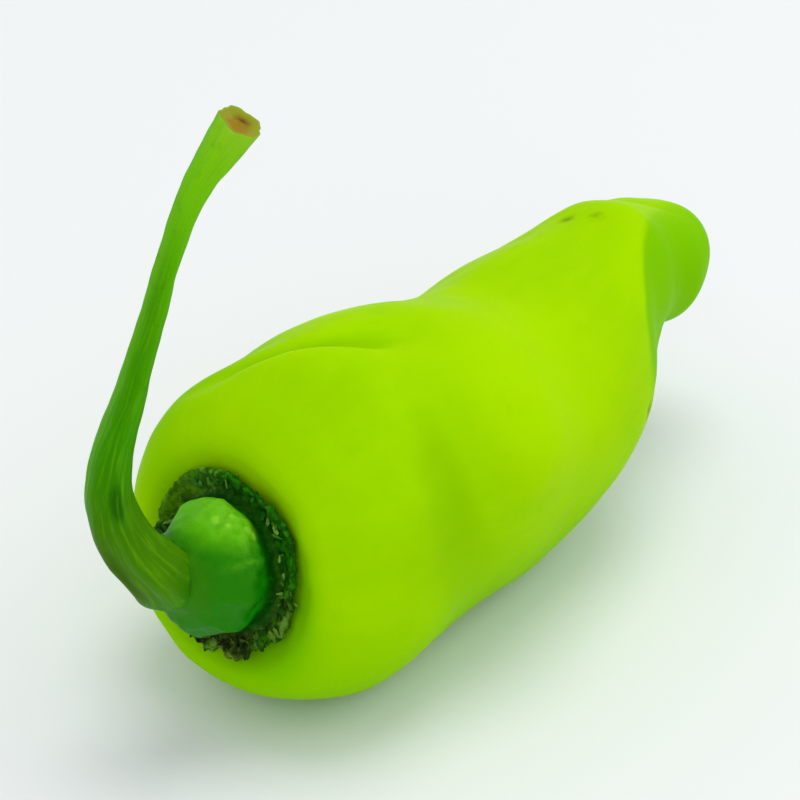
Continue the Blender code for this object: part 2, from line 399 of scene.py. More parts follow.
podValues = {
    # distance along the pod from the seat, radius
    "profile": [
        (0.8, 0), (0.8, 4), (0.6, 7), (0.1, 8.8), (-0.3, 10.2), (0.5, 11.8), (3.2, 13.9), (8.5, 15.4),
        (16, 15.5), (24, 14.5), (33, 13.5), (42, 12.7), (49, 10.7), (54.5, 8.6), (58.5, 7.4), (61.5, 6.7),
        (65.5, 6.5), (69.3, 4.7), (71.2, 2.1), (71.5, 0)],
    # distance along the pod, then its middle: sideways, height
    "middle": [
        (0, 1, 16.1), (12, 0.2, 15.9), (24, 0, 16.2), (36, 0, 13.6), (48, 0, 16), (56, 0.4, 19.4),
        (60.5, 0.8, 19.5), (66, 0.8, 18.1), (72, 0.5, 18.6)],
    # how many lobes, share of the radius, angle of a crest, twist in degrees per mm
    "lobes": [(3, 0.022, 98, 0.8), (5, 0.006, 10, -0.5)],
    "seatShare": 0.5,  # the share of the profile that counts as the seat's end
    "mouth": (8.5, 12.5),  # radii at the seat's end between which the forms set in
    "tipBlend": 6,
    # place along, angle, height, half length, half width in degrees
    "forms": {
        "shoulder lobe": (2.6, 38, 1.1, 4.5, 20),
        "back lobe": (11, 66, -0.3, 5, 12),
        "top saddle": (33, 118, 1.5, 8, 20),
        "front bulge": (23.5, 160, 1.7, 5, 17),
        "upper bulge": (23, 134, 0.7, 4.5, 15),
        "long bulge": (34, 161, 1.6, 7, 17),
        "belly": (24, 270, 2.2, 9, 30)},
    # lines drawn on the skin: distance along, angle, height, half width
    "lines": {
        "lobe groove": [
            (2.6, 44, 0, 1.3), (4.6, 54, -0.5, 1.2), (7.2, 64, -0.8, 1.1), (9.8, 74, -1.1, 1.1),
            (12.8, 82, -1.4, 1.1), (15.4, 89, -1.5, 1.2), (17.4, 95.5, -1.4, 1.3), (19.2, 101, -1, 1.5),
            (21.4, 106, -0.4, 1.8), (23.5, 110, 0, 2)],
        "front valley": [
            (16.4, 100, 0, 2.2), (15.2, 113, -0.7, 2.4), (14.2, 130, -1.1, 2.6), (13.4, 150, -1.4, 2.8),
            (13.6, 176, -1.2, 3), (15.8, 200, -1.3, 3.6), (18, 222, -1.1, 3.8), (19, 245, 0, 3.2)],
        "lobe crest": [
            (2, 68, 0, 2), (6.2, 78, 0.35, 2.2), (10, 89, 0.55, 2.2), (12.6, 99, 0.55, 2.2),
            (13.2, 111, 0.3, 2.4), (12.6, 126, 0, 2.4)],
        "back ridge": [
            (28, 84, 0, 2), (34, 80, 0.6, 2), (42, 79, 0.9, 2), (49, 82, 0.7, 2), (54, 90, 0, 2)],
        "tip rim": [
            (64, 88, 0, 2.4), (62.6, 98, 0.4, 2.5), (60.6, 108, 0.8, 2.6), (57.8, 118, 1, 2.8),
            (54.6, 127, 0.9, 2.9), (51.4, 137, 0.6, 3), (48.8, 149, 0.3, 3.2), (47, 164, 0.4, 3.5),
            (46.4, 184, 0.9, 3.8), (45.8, 204, 0.5, 4), (45.6, 218, 0, 4)],
        "nub fold": [
            (66.5, 84, 0, 2), (65.8, 95, -0.2, 2.2), (64.4, 106, -0.4, 2.3), (61.8, 117, -0.5, 2.4),
            (59, 127, -0.6, 2.4), (56.2, 137, -0.7, 2.4), (53.8, 149, -0.7, 2.3), (52.6, 164, -0.6, 2.2),
            (52.8, 188, -0.5, 2.2), (55.5, 225, 0, 2)]},
    # small scars: distance along, angle, half width in mm
    "scars": [(53.6, 74, 0.55), (54.8, 91, 0.45), (46, 184, 0.45)],
    "scarDepth": 0.12,
    "around": 300,
    "rings": 260,
    # mm high, mm from bump to bump, seed, number of waves
    "unevenness": [(0.16, 11, 3, 14), (0.035, 3.6, 5, 24)],
    "pucker": (0.16, 4.5, 11, 14),  # the same, for the folds that run in under the calyx
    "puckerRing": (10, 0.2),  # they are read round this radius, and slowly along the pod
    "puckerFrom": (8, 10),  # radii between which they set in
    "puckerTo": (11.1, 13.6),  # and between which they end
    "smoothPole": 3,  # radius within which the relief dies out
    # where the skin changes colour, and where shade is painted on it
    "zones": {
        "hollow": (7.5, 13),  # radii, from the seat's hollow to the open skin
        "raised": (12, 15),  # radii between which height above the profile starts to count
        "besideCalyx": (0.9, 185, 45),  # painted shade in the hollow beside the calyx: share, angle, reach
        "underside": (0.55, -0.25, 0.85),  # painted shade on the skin that faces down: share, then how far the skin faces down
        "behind": (0.9, 10, 9, 30, 24),  # painted shade on the back of the pod: share, place along, reach, angle, reach
        "pastRim": (-1, 1.5),  # mm past the tip rim between which the skin turns greener and darker, partly its own colour and partly painted shade
        "rimBlur": (5, 145, 40),  # how much wider that is, but for this angle and reach
        "rimFaint": (0.5, 92, 28)},  # share that is missing there, angle, reach
    "shader": {
        "IOR": 1.45, "Specular IOR Level": 0.004, "Specular Tint": (0.7, 1, 0.05, 1),
        "Subsurface Weight": 0.35, "Subsurface Radius": (1, 1, 0.2), "Subsurface Scale": 0.0022},
    # noises of the paint: scale, detail, roughness
    "noises": {
        "streaks": (1, 4, 0.6), "patches": (70, 2, 0.5), "mottle": (420, 3, 0.6),
        "gloss": (260, 3, 0.6), "fine": (900, 3, 0.55)},
    "streakStretch": (9, 9, 0.16),
    "skinColour": (0.3, 0.62, 0),
    # laid over it one by one: the value where it starts, the value where it is full, share, colour
    "layers": {
        "patches": (0.35, 0.68, 1, (0.335, 0.67, 0)),
        # painted highlight: skin that stands above the profile is lighter
        "raised": (0.4, 2.4, 0.7, (0.4, 0.72, 0)),
        "streaks": (0.3, 0.75, 0.3, (0.39, 0.69, 0.001)),
        "mottle": (0.55, 0.75, 0.2, (0.27, 0.59, 0)),
        # greener and darker: painted shade, and the tip's own greener colour
        "greener": (0.05, 0.95, 0.9, (0.17, 0.5, 0)),
        # painted shade: skin sunk below the profile, in creases and valleys, is darker
        "sunken": (0.2, 1.4, 0.6, (0.21, 0.5, 0))},
    "greenerWander": 0.35,
    "hollowTint": (0.05, (0.2, 0.47, 0.002)),  # share, colour: the skin round the calyx's hollow a little darker, partly its own colour and partly painted shade
    "scarTint": (0.8, (0.13, 0.22, 0.004)),
    "scarMottle": (0.3, 0.55),
    "tipScar": (0.5, 1),  # radii of its dark middle and of its edge
    "tipScarWander": 0.9,
    "tipOnly": (60, 66),  # mm along, so that the seat's pole stays clear
    "tipScarColour": (0.09, 0.055, 0.012),
    "roughness": (0.3, 0.16),  # least, share of the noise added
    "bump": (0.6, 0.4, 0.00012, 0.5),  # shares of two noises, metres, strength
}


# A line drawn over the skin is a chain of short straight pieces. The relief is the height at the
# nearest point of the chain, times a bell of the distance to it over the skin
def lineRelief(line, along, degrees, radius):
    chain = curveThrough(line, lineSamples)
    nearest = np.full(along.shape, np.inf)
    height = np.zeros(along.shape)
    width = np.ones(along.shape)
    for (place, turn, rise, half), (placeStep, turnStep, riseStep, halfStep) in zip(
            chain[:-1], np.diff(chain, axis=0)):
        ahead = along - place
        beside = arcLength(degrees, turn, radius)
        stepBeside = radians(turnStep) * radius
        share = (ahead * placeStep + beside * stepBeside) / (placeStep**2 + stepBeside**2 + tiny)
        share = np.clip(share, 0.0, 1.0)
        distance = (ahead - share * placeStep) ** 2 + (beside - share * stepBeside) ** 2
        closer = distance < nearest
        nearest = np.where(closer, distance, nearest)
        height = np.where(closer, rise + share * riseStep, height)
        width = np.where(closer, half + share * halfStep, width)
    return height * bell(np.sqrt(nearest), width)


# The profile's radius, with the lobes as shares of it, and each form as a bell in both directions
def podRadius(v, share, angle, along, radius):
    degrees = np.degrees(angle)
    outside = np.where(share < v["seatShare"], smoothStep(*v["mouth"], radius), 1.0)
    lobes = sum(size * cos(count * (angle - radians(crest + twist * along)))
                for count, size, crest, twist in v["lobes"])
    total = radius * (1.0 + outside * lobes)
    for place, centre, height, halfLength, halfWidth in v["forms"].values():
        form = height * bell(along - place, halfLength) * turnBell(degrees, centre, halfWidth)
        total = total + outside * form * smoothStep(0.0, v["tipBlend"], radius)
    for line in v["lines"].values():
        total = total + outside * lineRelief(line, along, degrees, radius)
    return total


# Upright sections along the pod's middle line. Those near the seat lean with it
def podSurface(v, seat, share, angle):
    along, radius = readProfile(v["profile"], share)
    middle = curveThrough(v["middle"], curveSamples)
    sideways, height = readTable(along, middle[:, 0], middle[:, 1:])
    total = podRadius(v, share, angle, along, radius)
    across = total * cos(angle)
    above = total * sin(angle)
    nearSeat = 1.0 - smoothStep(0.0, seat["fade"], along)
    tilt = radians(seat["tilt"]) * nearSeat
    turn = radians(seat["turn"]) * nearSeat
    x = seat["x"] + along + above * sin(tilt) + across * sin(turn)
    y = sideways + across * cos(turn)
    z = height + above * cos(tilt)
    return np.stack([x, y, z], axis=-1), along, radius, total


# The unevenness and the folds near the seat, dying out at both poles, less the scars
def podRelief(v, share, angle, along, radius, grid, scarred):
    relief = noiseLayers(grid, v["unevenness"])
    nearMouth = np.where(share < v["seatShare"], smoothStep(*v["puckerFrom"], radius), 0.0)
    nearMouth *= 1.0 - smoothStep(*v["puckerTo"], radius)
    ring, drawnOut = v["puckerRing"]
    height, *pattern = v["pucker"]
    relief += height * nearMouth * softNoise(tubePlaces(ring, angle, drawnOut * along), *pattern)
    return relief * smoothStep(0.0, v["smoothPole"], radius) - v["scarDepth"] * scarred


# How much a place lies in the seat's hollow, how far it stands above the plain profile, and how much
# greener and darker it is: the sum of four shares. Three are painted shade, beside the calyx, on the
# underside and on the back; the one past the tip rim is partly the skin's own greener colour, partly
# painted shade, and crisp only in front
def podZones(v, share, angle, along, radius, total):
    zones = v["zones"]
    degrees = np.degrees(angle)
    bySeat = share < v["seatShare"]
    hollow = np.where(bySeat, 1.0, 0.0) * (1.0 - smoothStep(*zones["hollow"], radius))
    rise = smoothStep(*zones["raised"], np.where(bySeat, total, zones["raised"][1])) * (total - radius)
    backShare, place, reach, *turn = zones["behind"]
    behind = bell(along - place, reach) * turnBell(degrees, *turn)
    underShare, *facing = zones["underside"]
    underside = smoothStep(*facing, -sin(angle))
    rimPlace = np.array(v["lines"]["tip rim"])
    start = np.interp(degrees, rimPlace[:, 1], rimPlace[:, 0], period=360.0)
    blur, *turn = zones["rimBlur"]
    soft = 1.0 + blur * (1.0 - turnBell(degrees, *turn))
    pastRim = smoothStep(*zones["pastRim"], (along - start - 0.5 * (soft - 1.0)) / soft)
    missing, *turn = zones["rimFaint"]
    pastRim *= 1.0 - missing * turnBell(degrees, *turn)
    calyxShare, *turn = zones["besideCalyx"]
    # painted shade beside the calyx, on the underside and on the back, plus the greener tip
    greener = (calyxShare * (hollow * turnBell(degrees, *turn)) + underShare * underside
               + backShare * behind + pastRim)
    return {"hollow": hollow, "rise": rise, "greener": np.clip(greener, 0.0, 1.0)}


# The surface with its relief along the normals, settled flat on the floor
def buildPod(v, seat):
    share, angle = turnedGrid(v)
    grid, along, radius, total = podSurface(v, seat, share, angle)
    scarred = spotMarks(v["scars"], np.degrees(angle), along, radius)
    relief = podRelief(v, share, angle, along, radius, grid, scarred)
    grid = grid + relief[..., None] * gridNormals(grid)
    grid[..., 2] = np.maximum(grid[..., 2], 0.0)
    return meshFromGrids("pepper_pod", grid, {
        "skin": tubePlaces(1.0, angle, along), "ringRadius": radius, "scarred": scarred,
        **podZones(v, share, angle, along, radius, total)})


def podPaint(v):
    paint = Paint("podSkin", v["shader"])
    noises = v["noises"]
    place = paint.objectPlace()
    skin = paint.attribute("skin", "Vector")
    streaks = paint.noise(paint.stretch(skin, v["streakStretch"]), *noises["streaks"])
    patches = paint.noise(place, *noises["patches"])
    mottle = paint.noise(place, *noises["mottle"])
    rise = paint.attribute("rise")
    greener = paint.attribute("greener") + (patches - 0.5) * v["greenerWander"]
    # raised skin is painted lighter and sunken skin darker: painted highlight and painted shade
    colour = paint.layers(v["skinColour"], v["layers"], patches=patches, raised=rise, streaks=streaks,
                          mottle=mottle, greener=greener, sunken=0.0 - rise)
    # the skin round the calyx's hollow darker: partly painted shade
    colour = paint.tint(colour, paint.attribute("hollow"), *v["hollowTint"])
    radius = paint.attribute("ringRadius") + (mottle - 0.5) * v["tipScarWander"]
    tipScar = 1.0 - paint.step(radius, *v["tipScar"])
    tipScar = tipScar * paint.step(paint.part(skin, 2), *v["tipOnly"])
    colour = paint.mix(tipScar, colour, v["tipScarColour"])
    scarred = paint.attribute("scarred") * paint.step(mottle, *v["scarMottle"])
    paint.feed("Base Color", paint.tint(colour, scarred, *v["scarTint"]))
    least, added = v["roughness"]
    paint.feed("Roughness", least + added * paint.noise(place, *noises["gloss"]))
    fineShare, streakShare, *depth = v["bump"]
    fine = paint.noise(place, *noises["fine"])
    paint.bump(fine * fineShare + streaks * streakShare, *depth)
    return paint.material


seatPlace = seatFrame(seatValues, podValues["middle"])
addPiece("pepper_pod", buildPod(podValues, seatValues), podPaint(podValues), ["pod"])


calyxValues = {
    # radius, height above the seat: from the stem's foot over the dome's rim, down its wall into
    # the groove, out to the torn margin, then back below
    "profile": [
        (0, 7.4), (2, 7.4), (2.5, 7.25), (2.8, 7), (3.15, 6.75), (3.6, 6.55), (4.1, 6.3), (4.7, 5.8),
        (5.25, 5.05), (5.75, 4.15), (5.95, 3.3), (5.85, 2.2), (5.75, 1.2), (5.95, 0.45), (6.5, 0.15),
        (7, 0.35), (7.55, 0.7), (7.95, 0.95), (8.2, 0.8), (8.2, 0.4), (7.8, 0.05), (6.9, -0.3), (4, -0.5),
        (0, -0.5)],
    "corners": (8, 39, 66, 95, 120, 153, 187, 222, 262, 300, 335),
    "cornerPower": 1.6,
    "facetsFrom": (0.6, 2.6),  # heights between which the dome's facets set in
    "facetsTo": (5.2, 6.7),  # and between which they end
    # mm that the dome bulges out of round, angle, reach
    "swellings": [(0.35, 90, 60), (-1.3, 40, 17), (0.3, 80, 14), (0.5, 132, 34),
                  (0.3, 252, 28), (-0.5, 322, 24)],
    "swollenHeights": (0.8, 2.5),  # they grow in between these heights and these radii
    "swollenRadii": (3.4, 5),
    "gusset": (1.1, 3.1, 0.8, 90, 48),  # mm high, radius and reach, angle and reach
    "gussetAbove": 3,  # mm
    "margin": (6.3, 7.9),  # radii, from the dome to the margin
    "upperSide": (-0.2, 0.5),  # heights, from the calyx's back to its upper side
    # lobes of the margin: how many, share of the radius, angle of a crest
    "lobes": [(5, 0.03, -7), (3, 0.02, 40)],
    # mm of the lumps on the margin, angle, reach
    "lumps": [(0.45, 250, 6), (0.4, 293, 7), (0.25, 36, 12)],
    "frill": (7, 0.18, 20),  # how many, mm up and down, angle of a crest
    "flutter": (0.22, 1.5, 23, 20),  # mm, size, seed, waves
    "ragged": 0.3,  # mm that the torn edge wanders
    "tears": [(1, 1.7, 21, 20), (0.7, 0.55, 22, 20)],  # share, size, seed, waves
    "tearRing": (8, 0.8),  # they are read round this radius, and slowly over the height
    "roughest": (0.45, 270, 70),  # least share, angle where it is most torn, reach
    "unevenness": [(0.045, 1.1, 31, 20), (0.09, 2.6, 32, 14)],
    "smoothPole": (0.3, 1.5),  # radii between which that sets in
    # where the margin is olive, and where it is charred: share, angle, reach
    "olive": (34, 22),
    "charred": [(0.6, 272, 34), (1, 250, 8), (1, 293, 9), (0.7, 196, 12)],
    # painted highlight along the dome's edge: height, reach, angle, reach. On its corners: degrees wide,
    # then the same
    "wornEdge": (3.4, 0.9, 112, 22),
    "wornCorners": (3.5, 4, 1.1, 112, 30),
    # small painted glints on the dome's wall: height, angle, half width
    "glints": [(4.6, 108, 0.28), (3.2, 78, 0.3), (3.3, 112, 0.3), (4.3, 119, 0.2),
               (2.7, 126, 0.32), (2.2, 133, 0.25)],
    "glintsBeyond": 4,  # mm from the axis
    "wornShares": (0.6, 0.6, 1.6),  # edge, corners, spots
    "around": 420,
    "rings": 200,
    "shader": {"IOR": 1.45, "Specular IOR Level": 0.22, "Specular Tint": (0.7, 1, 0.2, 1)},
    "noises": {"flecks": (1500, 3, 0.6), "broad": (300, 3, 0.6)},
    # two colours each: the value of the first, the value of the second, the colours
    "blends": {
        # painted light and shade: the dome lighter towards its upper side, darker below
        "dome": (3.2, 5.2, (0.009, 0.19, 0), (0.088, 0.42, 0)),
        # painted shade on the dome's lower, downward-facing wall
        "wall": (0.35, 0.65, (0.001, 0.16, 0), (0.004, 0.26, 0)),
        # painted shade in the groove between the dome and the margin
        "groove": (0.4, 0.7, (0.001, 0.05, 0), (0.002, 0.1, 0)),
        "margin": (0.42, 0.62, (0.003, 0.055, 0), (0.012, 0.16, 0)),
        "olive": (0.4, 0.65, (0.045, 0.14, 0), (0.1, 0.27, 0.002)),
        "charred": (0.72, 0.9, (0.006, 0.012, 0.002), (0.06, 0.11, 0.006))},
    # laid over them: the value where it starts, the value where it is full, share, colour
    "layers": {
        "mottle": (0.45, 0.7, 0.35, (0.014, 0.2, 0)),
        "top": (4.9, 3.3, 1, (0.024, 0.195, 0)),
        "dry": (0.84, 0.95, 0.7, (0.14, 0.3, 0.03))},
    "wornColour": (0.2, 0.58, 0.02),
    "wander": {"dome": 1.4, "top": 1.2, "margin": 1.2},  # mm that the noise shifts their limits
    # the share of the second noise in a mix of the two
    "fleckShares": {"worn": 0.4, "charred": 0.6, "dry": 0.5},
    # the values between which each of these goes from 0 to 1
    "limits": {
        "lowWall": (3.7, 2.7), "sideWall": (4.8, 3.4), "worn": (0.45, 0.8), "dome": (0.9, 2.2),
        "margin": (6.1, 6.8), "lowMargin": (1.9, 1.2), "rough": (6, 7)},
    "roughness": (0.32, 0.3, 0.3),  # least, added by the flecks, added on the margin
    "bump": (0.6, 0.4, 0.0002, 0.6),  # shares of the two noises, metres, strength
}


# The share times the cosine of count times the angle from a crest
def wave(count, share, crest, angle):
    return share * cos(count * (angle - radians(crest)))


# How far a straight edge between two corners lies inside the circle through them: the cosine of
# half the gap over the cosine of the angle from the middle of the gap
def facets(corners, power, angle):
    corners = radians(corners)
    after = np.searchsorted(corners, angle % fullTurn) % len(corners)
    half = 0.5 * ((corners[after] - corners[after - 1]) % fullTurn)
    offset = (angle - corners[after - 1]) % fullTurn - half
    return (cos(half) / cos(offset)) ** power


# The seat's middle plus so much sideways, upward and outward from it
def onSeat(seatPlace, across, above, high):
    middle, side, up, outward = seatPlace
    return middle + across[..., None] * side + above[..., None] * up + high[..., None] * outward


# The radius is the profile's times the facets and the lobes, plus the torn edge, the lumps and the
# swellings. The height is the profile's plus the waving margin and the gusset below the stem
def calyxForm(v, angle, radius, height):
    degrees = np.degrees(angle)
    margin = smoothStep(*v["margin"], radius)
    onDome = (1.0 - margin) * smoothStep(*v["facetsFrom"], height) * (
        1.0 - smoothStep(*v["facetsTo"], height))
    faceted = 1.0 + onDome * (facets(v["corners"], v["cornerPower"], angle) - 1.0)
    lobes = sum(wave(*lobe, angle) for lobe in v["lobes"])
    ring, drawnOut = v["tearRing"]
    places = tubePlaces(ring, angle, drawnOut * height)
    least, *most = v["roughest"]
    rough = least + turnBell(degrees, *most)
    above = smoothStep(*v["upperSide"], height)
    torn = v["ragged"] * rough * margin * noiseLayers(places, v["tears"]) * above
    newRadius = radius * (faceted + margin * lobes) + torn
    for size, *lump in v["lumps"]:
        newRadius += size * margin * turnBell(degrees, *lump)
    swollen = sum(size * turnBell(degrees, *swelling) for size, *swelling in v["swellings"])
    newRadius += (swollen * smoothStep(*v["swollenHeights"], height)
                  * smoothStep(*v["swollenRadii"], radius))
    flutter, *pattern = v["flutter"]
    lifted = wave(*v["frill"], angle) + flutter * rough * softNoise(places, *pattern)
    tall, place, reach, *turn = v["gusset"]
    filled = turnBell(degrees, *turn) * bell(radius - place, reach) * (height > v["gussetAbove"])
    return newRadius, height + above * margin * lifted + tall * filled


# How olive and how charred a place is, and how much painted highlight it gets on the dome's edge, corners
# and glints
def calyxZones(v, degrees, radius, height):
    charred = sum(share * turnBell(degrees, *zone) for share, *zone in v["charred"])
    high, reach, *turn = v["wornEdge"]
    onEdge = bell(height - high, reach) * turnBell(degrees, *turn)
    width, high, reach, *turn = v["wornCorners"]
    toCorner = np.min([np.abs(wrapDegrees(degrees - corner)) for corner in v["corners"]], axis=0)
    onCorner = bell(toCorner, width) * bell(height - high, reach) * turnBell(degrees, *turn)
    glints = spotMarks(v["glints"], degrees, height, radius) * (radius > v["glintsBeyond"])
    worn = [share * mask for share, mask in zip(v["wornShares"], (onEdge, onCorner, glints))]
    return np.stack([turnBell(degrees, *v["olive"]), np.minimum(charred, 1.0),
                     np.max(worn, axis=0)], axis=-1)


# The profile turned round the seat's axis, with a fine relief along its normals
def buildCalyx(v, seatPlace):
    share, angle = turnedGrid(v)
    radius, height = readProfile(v["profile"], share)
    newRadius, newHeight = calyxForm(v, angle, radius, height)
    local = tubePlaces(newRadius, angle, newHeight)
    grid = onSeat(seatPlace, local[..., 0], local[..., 1], newHeight)
    relief = noiseLayers(grid, v["unevenness"]) * smoothStep(*v["smoothPole"], radius)
    grid = grid + relief[..., None] * gridNormals(grid)
    return meshFromGrids("pepper_calyx", grid, {
        "local": local, "ringRadius": newRadius,
        "zones": calyxZones(v, np.degrees(angle), radius, height)})


def calyxPaint(v):
    paint = Paint("calyxSkin", v["shader"])
    blends, limits, wander, shares = v["blends"], v["limits"], v["wander"], v["fleckShares"]
    place = paint.objectPlace()
    flecks, broad = (paint.noise(place, *v["noises"][name]) for name in ("flecks", "broad"))
    local = paint.attribute("local", "Vector")
    radius = paint.attribute("ringRadius")
    zones = paint.attribute("zones", "Vector")
    olive, charred, worn = (paint.part(zones, k) for k in range(3))
    upward, high = paint.part(local, 1), paint.part(local, 2)
    # painted light and shade: lighter towards the upper side, darker below
    dome = paint.blend(upward + (broad - 0.5) * wander["dome"], *blends["dome"])
    dome = paint.layers(dome, v["layers"], mottle=broad, top=radius + (broad - 0.5) * wander["top"])
    # painted shade: the dark wall colour only low down and on the side that faces down
    onWall = paint.step(high, *limits["lowWall"]) * paint.step(upward, *limits["sideWall"])
    dome = paint.mix(onWall, dome, paint.blend(broad, *blends["wall"]))
    worn = worn * paint.step(flecks + broad * shares["worn"], *limits["worn"])
    # painted highlight: pale edge, corners and glints on the dome
    dome = paint.mix(worn, dome, v["wornColour"])
    rim = paint.blend(flecks, *blends["margin"])
    rim = paint.mix(olive, rim, paint.blend(flecks, *blends["olive"]))
    rim = paint.mix(charred, rim, paint.blend(broad + flecks * shares["charred"], *blends["charred"]))
    rim = paint.layers(rim, v["layers"], dry=broad + flecks * shares["dry"])
    # painted shade in the groove
    groove = paint.blend(flecks, *blends["groove"])
    colour = paint.mix(paint.step(high, *limits["dome"]), groove, dome)
    onMargin = paint.step(radius + (flecks - 0.5) * wander["margin"], *limits["margin"])
    onMargin = onMargin * paint.step(high, *limits["lowMargin"])
    paint.feed("Base Color", paint.mix(onMargin, colour, rim))
    least, fleckShare, marginShare = v["roughness"]
    paint.feed("Roughness", least + fleckShare * flecks
               + marginShare * paint.step(radius, *limits["rough"]))
    fleckBump, broadBump, *depth = v["bump"]
    paint.bump(flecks * fleckBump + broad * broadBump, *depth)
    return paint.material


addPiece("pepper_calyx", buildCalyx(calyxValues, seatPlace), calyxPaint(calyxValues),
         ["calyx"])


# The dry torn scales round the margin
flakeValues = {
    "count": 130,
    "seed": 7,
    "radius": (6.2, 7.7),  # mm from the seat's axis, where a scale starts
    "height": (0.35, 0.95),
    "length": (0.5, 1.25),
    "width": (0.22, 0.6),
    "thickness": 0.07,
    "lift": (-0.4, 0.35),  # how steeply it points away from the pod
    "curl": 0.5,  # most that it bends up or down, per mm
    "turn": 1.3,  # radians either way from straight outward
    "crowded": (275, 60, 0.45),  # angle, reach and share of the scales that gather there
    "ragged": 0.35,  # share of the width that its sides wander
    "outline": (0.12, 0.6),  # where along a half wave it starts, power of the wave
    "taper": (0.12, 0.3),  # how soon the width and the thickness run out at its ends
    "pale": (0.5, 155, 18),  # tone added, angle, reach
    "around": 8,
    "rings": 8,
    "shader": {"Roughness": 0.6, "IOR": 1.45, "Specular IOR Level": 0.2,
               "Specular Tint": (0.8, 1, 0.4, 1)},
    "flecks": (1800, 3, 0.6),
    "toneWander": 0.5,
    "green": [(0, (0.003, 0.06, 0)), (0.5, (0.012, 0.15, 0.001)), (0.85, (0.06, 0.24, 0.006)),
              (1, (0.2, 0.36, 0.05))],
    "brown": [(0, (0.003, 0.006, 0.001)), (0.6, (0.012, 0.018, 0.002)), (0.85, (0.05, 0.09, 0.004)),
              (1, (0.14, 0.21, 0.02))],
    "bump": (0.0001, 0.6),
}


# Each scale is a thin lens: its middle line leaves the margin outward and curls, and its width is a
# half wave of the length with a ragged share added
def buildFlakes(v, seatPlace):
    draw = np.random.default_rng(v["seed"])
    count = v["count"]
    centre, reach, gathered = v["crowded"]
    even = draw.uniform(0.0, 360.0, count)
    near = draw.normal(centre, reach * 0.5, count)
    angle = radians(np.where(draw.random(count) < gathered, near, even))
    start = draw.uniform(*v["radius"], count)
    high = draw.uniform(*v["height"], count)
    length, width = draw.uniform(*v["length"], count), draw.uniform(*v["width"], count)
    lift, turn = draw.uniform(*v["lift"], count), draw.uniform(-v["turn"], v["turn"], count)
    curl = draw.uniform(-v["curl"], v["curl"], count)
    angle, start, high, length, width, lift, facing, curl = (
        values[:, None, None] for values in (angle, start, high, length, width, lift, turn, curl))
    along = np.linspace(0.0, 1.0, v["rings"])[None, :, None]
    section = np.linspace(0.0, fullTurn, v["around"], endpoint=False)[None, None, :]
    ragged = 1.0 + v["ragged"] * draw.uniform(-1.0, 1.0, (count, v["rings"], 2))
    side = np.where(cos(section) > 0.0, ragged[..., :1], ragged[..., 1:])
    inward = along * (1.0 - along) * 4.0
    begin, power = v["outline"]
    widthTaper, thickTaper = v["taper"]
    spread = (0.5 * width * sin(pi * (begin + (1.0 - begin) * along)) ** power
              * side * cos(section) * smoothStep(0.0, widthTaper, inward))
    thick = 0.5 * v["thickness"] * sin(section) * smoothStep(0.0, thickTaper, inward)
    ahead = length * along * np.ones_like(spread)
    rise = high + ahead * lift + curl * ahead**2 + thick
    radial = start + ahead * cos(facing) - spread * sin(facing)
    sideways = ahead * sin(facing) + spread * cos(facing)
    across = radial * cos(angle) - sideways * sin(angle)
    above = radial * sin(angle) + sideways * cos(angle)
    added, *pale = v["pale"]
    degrees = np.degrees(angle)
    tone = draw.random(count)[:, None, None] + added * turnBell(degrees, *pale)
    whole = np.ones_like(spread)
    return meshFromGrids("calyx_flakes", onSeat(seatPlace, across, above, rise), {
        "tone": tone * whole, "charred": turnBell(degrees, centre, reach) * whole})


def flakePaint(v):
    paint = Paint("calyxFlake", v["shader"])
    flecks = paint.noise(paint.objectPlace(), *v["flecks"])
    tone = paint.attribute("tone") + (flecks - 0.5) * v["toneWander"]
    green, brown = paint.ramp(tone, v["green"]), paint.ramp(tone, v["brown"])
    paint.feed("Base Color", paint.mix(paint.attribute("charred"), green, brown))
    paint.bump(flecks, *v["bump"])
    return paint.material


addPiece("calyx_flakes", buildFlakes(flakeValues, seatPlace), flakePaint(flakeValues),
         ["calyx"])


